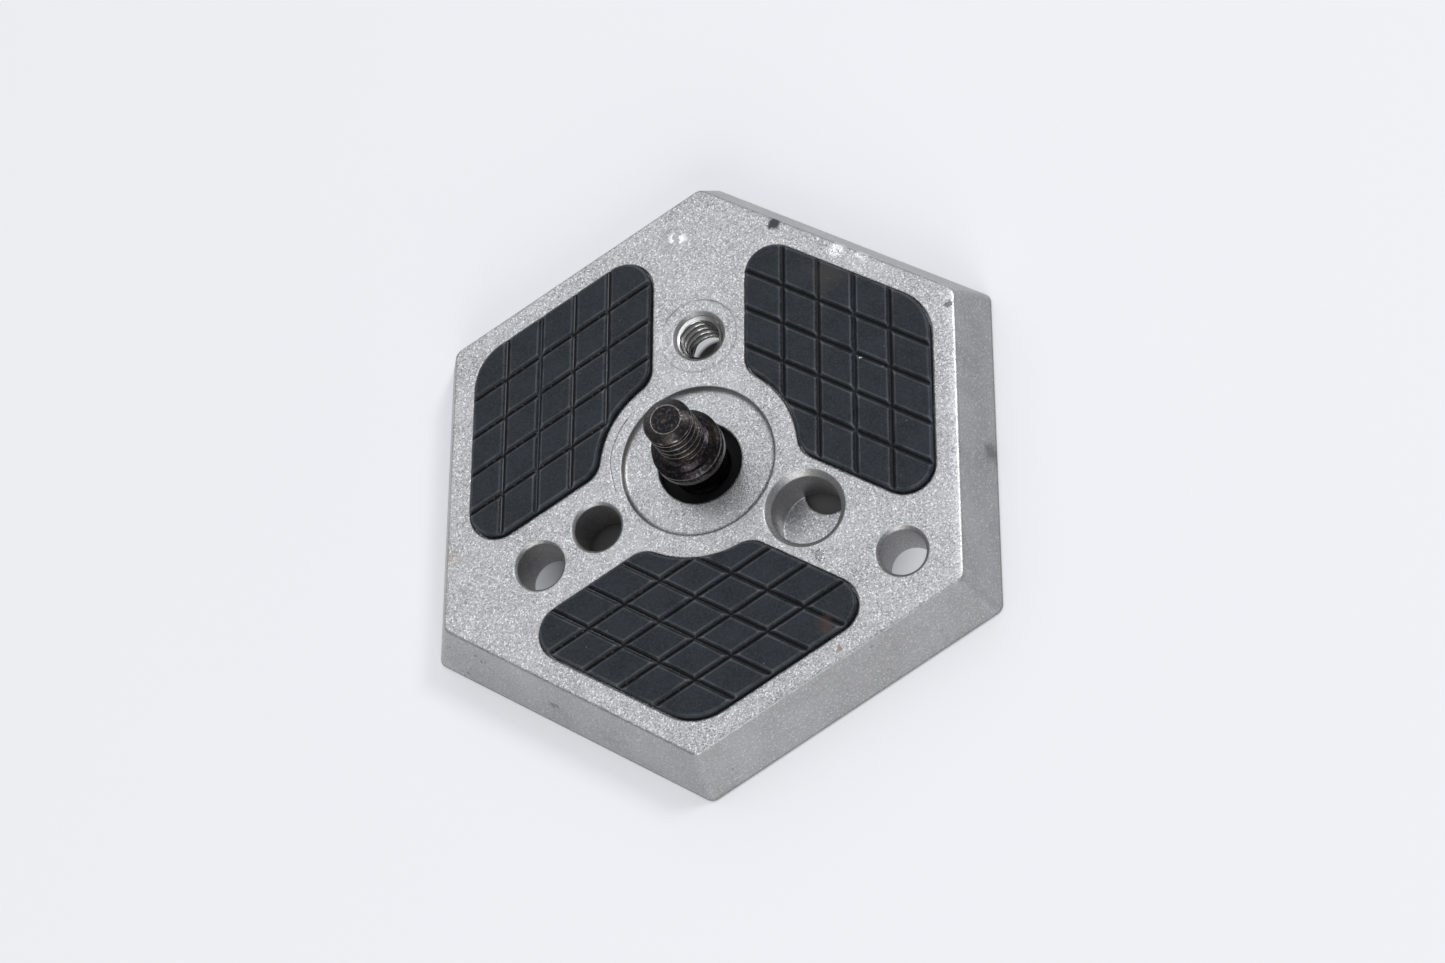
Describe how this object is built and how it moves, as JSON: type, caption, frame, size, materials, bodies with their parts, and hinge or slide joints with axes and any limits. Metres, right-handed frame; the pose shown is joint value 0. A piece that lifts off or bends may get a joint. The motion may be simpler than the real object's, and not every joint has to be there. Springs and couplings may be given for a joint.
{
  "type": "camera quick release plate",
  "caption": "Hexagonal cast camera release plate with bevelled sides, rubber pads in recesses, arms with holes, a central camera screw and a folding handle beneath.",
  "frame": {"origin": "centre of the underside rim's plane", "axes": "+Z out of the top face along the camera screw, +Y towards the corner whose arm has the threaded hole, +X across two parallel sides"},
  "size_m": [0.0758, 0.087, 0.0214],
  "materials": {
    "cast_metal": "fine sparkling cast surface",
    "rubber": "satin, faintly grained",
    "black_plastic": "matt black",
    "blackened_steel": "worn black oxide with a trace of rust",
    "plated_steel": "dull plating"
  },
  "bodies": {
    "plate": {"plate_casting": "cast_metal", "lower_rubber_pad": "rubber", "right_rubber_pad": "rubber", "left_rubber_pad": "rubber", "retaining_washer": "black_plastic"},
    "screw": {"camera_screw": "blackened_steel"},
    "handle": {"folding_handle": "plated_steel"}
  },
  "joints": [
    {"name": "screw_turn", "type": "hinge", "parent": "plate", "child": "screw", "pos_m": [0, 0, 0.0052], "axis": [0, 0, 1], "continuous": true},
    {"name": "handle_fold", "type": "hinge", "parent": "screw", "child": "handle", "pos_m": [0, 0.004, 0.0019], "axis": [1, 0, 0], "range_deg": [0, 110]}
  ]
}
